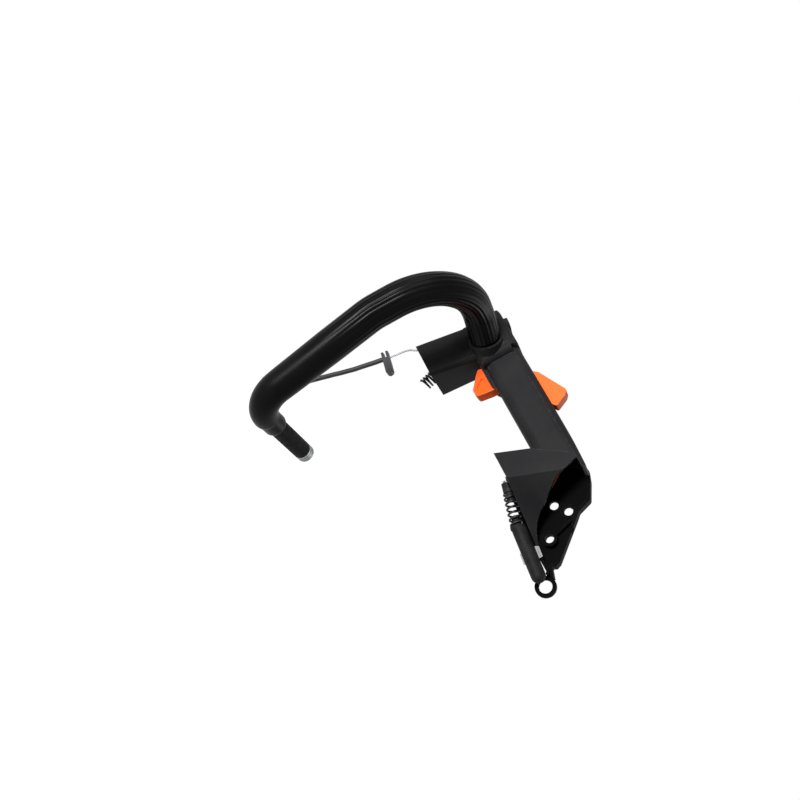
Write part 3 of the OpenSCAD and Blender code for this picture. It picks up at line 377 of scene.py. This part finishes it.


# Throttle cable: two declared cords along listed points, as in the part's source

wireSpec = {
    "diameter": 1.6,
    "route": [(28.4, 17.2, -56.6), (28.6, 17.3, -58), (28.8, 17.4, -59.5), (29.1, 17.5, -61.1),
              (29.6, 17.7, -62.8), (30.5, 17.8, -64.5), (31.7, 17.9, -66.1), (33, 18, -67.8), (34.1, 18, -69.8),
              (34.9, 18, -72.2), (35.4, 18, -74.8), (35.7, 18, -77.5), (36, 18, -80.2), (36.4, 18, -82.9),
              (36.9, 18, -85.6), (37.5, 18, -88.5)],
    "strands": 6,
    "strandDepth": 0.12,
    "lay": 9.0,  # mm of wire for one turn of a strand
    "step": 0.25,
}
sheathSpec = {
    "diameter": 4.4,
    "route": [(38.4, 18, -92), (39.2, 18, -96), (40.4, 18, -102), (41.8, 18, -108), (43.2, 18, -114.2),
              (44.6, 18, -120.5), (46.4, 18, -126.6), (48.2, 18, -132.8), (50.3, 18, -139), (52.1, 18, -145.1),
              (53.8, 18, -150.5), (55.4, 18, -156), (57.4, 18, -162.5), (59.8, 18, -170), (62.2, 18, -177)],
    "sides": 32,
    "step": 1.0,
}


# A smooth line through the points: each span is the cubic with end slopes from its neighbours
# (Catmull-Rom), cut into even steps.
def smoothRoute(points, step):
    p = np.asarray(points, float)
    p = np.vstack([2 * p[0] - p[1], p, 2 * p[-1] - p[-2]])
    out = []
    for a, b, c, d in zip(p[:-3], p[1:-2], p[2:-1], p[3:]):
        t = np.linspace(0, 1, max(2, int(np.linalg.norm(c - b) / step)), endpoint=False)[:, None]
        out.append(0.5 * (2 * b + (c - a) * t + (2 * a - 5 * b + 4 * c - d) * t**2
                          + (3 * b - a - 3 * c + d) * t**3))
    line = np.vstack(out + [p[-2:-1]])
    tangents = unit(np.gradient(line, axis=0))
    done = np.concatenate([[0], np.cumsum(np.linalg.norm(np.diff(line, axis=0), axis=1))])
    return line, tangents, done


def makeCableWire(spec):
    line, tangents, done = smoothRoute(spec["route"], spec["step"])
    angle = np.linspace(0, 2 * np.pi, 36, endpoint=False)
    turn = 2 * np.pi * done / spec["lay"]
    radii = spec["diameter"] / 2 - spec["strandDepth"] * (
        1 - np.abs(np.cos(spec["strands"] / 2 * (angle[None, :] + turn[:, None]))))
    verts, faces = sweptRod(line, tangents, radii, (0, 1, 0))
    piece = makePiece("cableWireStrands", placed(verts), faces, finishes["wire"], "root",
                      ("cable_wire",))
    return piece


def makeCableSheath(spec):
    line, tangents, done = smoothRoute(spec["route"], spec["step"])
    radii = np.full((len(line), spec["sides"]), spec["diameter"] / 2)
    verts, faces = sweptRod(line, tangents, radii, (0, 1, 0))
    piece = makePiece("cableSheathSkin", placed(verts), faces, finishes["cable"], "root",
                      ("cable_sheath",))
    return piece


makeCableWire(wireSpec)
makeCableSheath(sheathSpec)
print("cable made")


# Handlebar: one path for the tube and its sleeve

barSpec = {
    "entry": (4.3, 20.0, -6.9),
    "lift": (16.5, 48.0, -1.6),
    "others": [(21.2, 112.0, -2.8), (23.0, 110.0, -78.0), (3.4, 107.8, -194.1), (2.2, 2.0, -193.5)],
    "bendRadii": [40.0, 55.0, 60.0, 25.0],
    "seat": 13.0,
    "plug": 10.05,  # mm at the bare end that the end piece fills
    "step": 1.2,
}


# Straights and arcs: each bend leaves the straight at r tan(turn / 2) before its corner and
# turns about a centre that lies r away, square to the straight.
def barPath(spec):
    entry, lift = np.array(spec["entry"]), np.array(spec["lift"])
    start = entry - unit(lift - entry) * spec["seat"]
    corners = np.vstack([start, lift, spec["others"]])
    corners[-1] -= unit(corners[-1] - corners[-2]) * spec["plug"]
    points, tangents, at, bendEnds = [], [], corners[0], []
    for i, radius in enumerate(spec["bendRadii"], 1):
        u, v = unit(corners[i] - corners[i - 1]), unit(corners[i + 1] - corners[i])
        turn = math.acos(float(u @ v))
        leave = corners[i] - u * radius * math.tan(turn / 2)
        t = np.linspace(0, 1, max(2, int(np.linalg.norm(leave - at) / spec["step"])), endpoint=False)[:, None]
        points.append(at + (leave - at) * t)
        tangents.append(np.repeat(u[None, :], len(t), 0))
        out = np.cross(u, unit(np.cross(u, v)))
        a = np.linspace(0, turn, max(6, int(radius * turn / spec["step"])), endpoint=False)[:, None]
        points.append(leave - out * radius + radius * (out * np.cos(a) + u * np.sin(a)))
        tangents.append(u * np.cos(a) - out * np.sin(a))
        at = corners[i] + v * radius * math.tan(turn / 2)
        bendEnds.append(sum(len(p) for p in points))
    t = np.linspace(0, 1, int(np.linalg.norm(corners[-1] - at) / spec["step"]))[:, None]
    points.append(at + (corners[-1] - at) * t)
    tangents.append(np.repeat(unit(corners[-1] - at)[None, :], len(t), 0))
    line, tangents = np.vstack(points), unit(np.vstack(tangents))
    done = np.concatenate([[0], np.cumsum(np.linalg.norm(np.diff(line, axis=0), axis=1))])
    return line, tangents, done, done[bendEnds[-1]]


barLine, barTangents, barDone, lowBendEnd = barPath(barSpec)


# A pipe: outer rings, inner rings turned inwards, and a flat ring on each end.
def sweptPipe(centres, tangents, outer, inner, ref):
    rows, cols = outer.shape
    verts = np.concatenate([ringGrid(centres, tangents, outer, ref).reshape(-1, 3),
                            ringGrid(centres, tangents, inner, ref).reshape(-1, 3)])
    j = np.arange(cols)
    last, inside = (rows - 1) * cols, rows * cols
    faces = np.concatenate([gridQuads(rows, cols), gridQuads(rows, cols, inside, False),
                            bandQuads(j, inside + j), bandQuads(inside + last + j, last + j)])
    return verts, faces


tubeSpec = {"radius": 8.0, "wall": 1.8, "sides": 64}


def makeTube(spec):
    outer = np.full((len(barLine), spec["sides"]), spec["radius"])
    outer[0], outer[-1] = spec["radius"] - 0.4, spec["radius"] - 0.4  # broken edges at the ends
    verts, faces = sweptPipe(barLine, barTangents, outer, outer * 0 + spec["radius"] - spec["wall"], (1, 0, 0))
    return makePiece("handlebarTubeSteel", placed(verts), faces, finishes["tube"], "root",
                     ("handlebar_tube",))


sleeveSpec = {
    "start": 14.3,  # mm along the bar
    "startRadius": 13.25,
    "radius": 14.25,
    "lipLength": 16.5,
    "lipRadius": 10.0,
    "bore": 8.3,
    "ribs": 20,
    "ribDepth": 0.42,
    "ribFull": 150.0,  # mm from the start to where the ribs begin to fade
    "ribGone": 190.0,
    "sides": 240,
}


# Radius over the length s: a swell to the hand's place and a taper in the lower bend, softened
# over a few mm, less a rib depth * (1 - |cos(n a / 2)|) that fades out, then the plain lip.
def makeSleeve(spec):
    keep = (barDone >= spec["start"]) & (barDone <= lowBendEnd + spec["lipLength"])
    line, tangents, s = barLine[keep], barTangents[keep], barDone[keep] - spec["start"]
    body = lowBendEnd - spec["start"]
    swell = spec["radius"] - spec["startRadius"]
    big = spec["radius"]
    radius = np.interp(s, [0, 30, 70, 130, 185, 215, 235, body - 25, body],
                       [spec["startRadius"], spec["startRadius"] + 0.12 * swell,
                        spec["startRadius"] + 0.7 * swell, big, big, big - 0.5, big - 0.8, big - 1.4,
                        big - 3.2])
    window = np.hanning(11)
    soft = np.convolve(np.pad(radius, 5, mode="edge"), window / window.sum(), mode="valid")
    lip = np.interp(s, [body - 0.1, body + 1.2, body + spec["lipLength"] - 1, body + spec["lipLength"]],
                    [spec["radius"] - 3.2, spec["lipRadius"], spec["lipRadius"], spec["lipRadius"] - 0.7])
    radius = np.where(s < body, soft, lip)
    radius[0] -= 0.8
    radius[1] -= 0.15
    angle = np.linspace(0, 2 * np.pi, spec["sides"], endpoint=False)
    groove = 1 - np.abs(np.cos(spec["ribs"] / 2 * angle))
    depth = spec["ribDepth"] * np.interp(s, [0, 4, spec["ribFull"], spec["ribGone"]], [0.3, 1, 1, 0])
    outer = radius[:, None] - depth[:, None] * groove[None, :]
    verts, faces = sweptPipe(line, tangents, outer, outer * 0 + spec["bore"], (1, 0, 0))
    return makePiece("handlebarSleeveSkin", placed(verts), faces, finishes["sleeve"], "root",
                     ("handlebar_sleeve",))


makeTube(tubeSpec)
makeSleeve(sleeveSpec)
print("handlebar made")


# Springs: a round wire along a helix

frontSpringSpec = {"seat": (15.8, -7.0, -53.7), "axis": (-0.3, 0, -1), "from": 3.1, "diameter": 12.0,
                   "wire": 1.8, "length": 17.5, "turns": 5}
rearSpringSpec = {"seat": (-113.0, 0.0, -49.5), "axis": (-70, -8, -18), "from": 8.1, "diameter": 12.0,
                  "wire": 1.8, "length": 28.0, "turns": 6}


# Turns Z to the axis d: first about Y by acos(dz), then about Z by atan2(dy, dx).
def axisTurn(axis):
    d = unit(axis)
    tilt, turn = math.acos(d[2]), math.atan2(d[1], d[0])
    return np.array(Matrix.Rotation(turn, 3, "Z") @ Matrix.Rotation(tilt, 3, "Y"))


# Wire's middle: (r cos a, r sin a, wire / 2 + rise a / 2 pi), with a tapered end at each side.
def makeCoil(name, spec, node, finish):
    r = (spec["diameter"] - spec["wire"]) / 2
    a = np.linspace(0, 2 * np.pi * spec["turns"], spec["turns"] * 48 + 1)
    rise = (spec["length"] - spec["wire"]) / spec["turns"]
    line = np.stack([r * np.cos(a), r * np.sin(a), spec["wire"] / 2 + rise * a / (2 * np.pi)], -1)
    tangents = unit(np.gradient(line, axis=0))
    radii = np.full((len(line), 16), spec["wire"] / 2)
    radii[[0, -1]] *= 0.8
    verts, faces = sweptRod(line, tangents, radii, (0, 0, 1))
    turn = axisTurn(spec["axis"])
    verts = verts @ turn.T + np.array(spec["seat"]) + unit(spec["axis"]) * spec["from"]
    return makePiece(name, placed(verts), faces, finishes[finish], "root", (node,))


makeCoil("frontSpringCoil", frontSpringSpec, "front_spring", "springSteel")
makeCoil("rearSpringCoil", rearSpringSpec, "rear_spring", "springSteel")
print("springs made")


# Mouldings with eased edges: a welded copy of the solid, its sharp edges beveled

easedSpec = {
    "grip_housing": {"finish": "housing", "slot": "housing_plastic", "width": 0.5, "body": "root"},
    "grip_cover": {"finish": "cover", "slot": "cover_plastic", "width": 0.4, "body": "root"},
    "rear_plate": {"finish": "plate", "slot": "plate_plastic", "width": 0.35, "body": "root"},
    "handlebar_clamp": {"finish": "housing", "slot": "housing_plastic", "width": 0.4, "body": "root"},
    "throttle_trigger": {"finish": "orange", "slot": "trigger_orange", "width": 0.7,
                         "body": "throttle_trigger"},
    "trigger_lockout": {"finish": "lockout", "slot": "lockout_orange", "width": 0.8,
                        "body": "trigger_lockout"},
    "cable_clip": {"finish": "cable", "slot": "cable_plastic", "width": 0.3, "body": "root"},
}


def easeEdges(node, spec):
    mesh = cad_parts[node].data.copy()
    work = bmesh.new()
    work.from_mesh(mesh)
    bmesh.ops.remove_doubles(work, verts=work.verts, dist=0.00001)
    bmesh.ops.dissolve_limit(work, angle_limit=math.radians(0.6), verts=work.verts, edges=work.edges)
    work.to_mesh(mesh)
    work.free()
    mesh.polygons.foreach_set("use_smooth", np.ones(len(mesh.polygons), bool))
    piece = bpy.data.objects.new(node + "_eased", mesh)
    bpy.context.scene.collection.objects.link(piece)
    bevel = piece.modifiers.new("easedEdge", "BEVEL")
    bevel.width = spec["width"] * mm
    bevel.segments = 2
    bevel.limit_method = "ANGLE"
    bevel.angle_limit = math.radians(32)
    bevel.use_clamp_overlap = True
    bevel.harden_normals = False
    smooth = piece.modifiers.new("flatNormals", "WEIGHTED_NORMAL")
    smooth.keep_sharp = True
    mesh.set_sharp_from_angle(angle=math.radians(32))
    return dressPiece(piece, finishes[spec["finish"]], spec["body"], (node,))


for node, spec in easedSpec.items():
    if node != "cable_clip":
        easeEdges(node, spec)
print("mouldings eased")


# The other solids keep their shape and get their finish

nodeFinish = {
    "handlebar_insert": "plugSteel", "clamp_screws": "darkSteel", "cover_screws": "darkSteel",
    "plate_screws": "darkSteel", "trigger_pin": "brightSteel", "lockout_pin": "brightSteel",
    "trigger_spring": "springSteel", "lockout_spring": "springSteel", "front_spring_seat": "plainBlack",
    "front_spring_screw": "brightSteel", "rear_spring_seat": "plainBlack", "rear_buffer": "buffer",
    "rear_buffer_clip": "clipSteel",
    "rear_spring_screw": "darkSteel", "stop_lead": "lead", "cable_guide": "plainBlack",
    "cable_clip": "cable", "cable_nipple": "brightSteel",
}
for node, finish in nodeFinish.items():
    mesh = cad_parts[node].data
    mesh.materials.clear()
    mesh.materials.append(finishes[finish])
print("solids dressed")


# Floor, world and lamps

stageSpec = {
    "drop": 0.30,  # m from the object's lowest point to the floor
    "size": 12.0,
    "floorColour": (0.5, 0.5, 0.5),
    "floorGlow": 0.98,
    "worldFill": 0.05,
}
lampSpec = {
    "keyLamp": {"place": (0.33, 1.544, -0.011), "size": 0.36, "energy": 30.0},
    "sideLamp": {"place": (0.712, 1.139, 0.822), "size": 0.6, "energy": 7.0},
    "rearLamp": {"place": (-0.7, -1.1, 0.7), "size": 0.9, "energy": 9.0},
}


# One where a ray comes from the camera, off a shiny surface or through a clear one.
def seenMask(tree):
    path = addNode(tree, "ShaderNodeLightPath")
    direct = addNode(tree, "ShaderNodeMath", operation="MAXIMUM")
    link(tree, path.outputs["Is Camera Ray"], direct.inputs[0])
    link(tree, path.outputs["Is Glossy Ray"], direct.inputs[1])
    seen = addNode(tree, "ShaderNodeMath", operation="MAXIMUM")
    link(tree, direct.outputs["Value"], seen.inputs[0])
    link(tree, path.outputs["Is Transmission Ray"], seen.inputs[1])
    return seen.outputs["Value"]


# Where it is seen, the floor glows up to white, and the lamps still draw its shadow.
def makeFloor(spec):
    low = cadBox[0].z - spec["drop"]
    h = spec["size"] / 2
    mesh = bpy.data.meshes.new("studioFloor")
    mesh.from_pydata([(-h, -h, low), (h, -h, low), (h, h, low), (-h, h, low)], [], [(0, 1, 2, 3)])
    floor = bpy.data.objects.new("studioFloor", mesh)
    bpy.context.scene.collection.objects.link(floor)
    material = bpy.data.materials.new("paleFloor")
    material.use_nodes = True
    tree = material.node_tree
    tree.nodes.remove(tree.nodes["Principled BSDF"])
    out = tree.nodes["Material Output"]
    matt = addNode(tree, "ShaderNodeBsdfDiffuse")
    matt.inputs["Color"].default_value = asColour(spec["floorColour"])
    glow = addNode(tree, "ShaderNodeEmission")
    strength = addNode(tree, "ShaderNodeMath", operation="MULTIPLY")
    strength.inputs[1].default_value = spec["floorGlow"]
    link(tree, seenMask(tree), strength.inputs[0])
    link(tree, strength.outputs["Value"], glow.inputs["Strength"])
    both = addNode(tree, "ShaderNodeAddShader")
    link(tree, matt.outputs["BSDF"], both.inputs[0])
    link(tree, glow.outputs["Emission"], both.inputs[1])
    link(tree, both.outputs["Shader"], out.inputs["Surface"])
    mesh.materials.append(material)


def makeWorld(spec):
    world = bpy.data.worlds.new("studioWorld")
    world.use_nodes = True
    tree = world.node_tree
    back = tree.nodes["Background"]
    back.inputs["Color"].default_value = (1, 1, 1, 1)
    strength = addNode(tree, "ShaderNodeMapRange")
    strength.inputs["To Min"].default_value = spec["worldFill"]
    strength.inputs["To Max"].default_value = 1.0
    link(tree, seenMask(tree), strength.inputs["Value"])
    link(tree, strength.outputs["Result"], back.inputs["Strength"])
    bpy.context.scene.world = world


# Each lamp is a square softbox that looks at the middle of the object.
def makeLamp(name, spec):
    data = bpy.data.lights.new(name, "AREA")
    data.size = spec["size"]
    data.energy = spec["energy"]
    lamp = bpy.data.objects.new(name, data)
    middle = (cadBox[0] + cadBox[1]) / 2
    lamp.location = spec["place"]
    away = lamp.location - middle
    lamp.rotation_mode = "QUATERNION"
    lamp.rotation_quaternion = away.to_track_quat("Z", "Y")
    bpy.context.scene.collection.objects.link(lamp)


makeFloor(stageSpec)
makeWorld(stageSpec)
for name, spec in lampSpec.items():
    makeLamp(name, spec)
bpy.context.scene.view_settings.view_transform = "Standard"
print("studio lit")
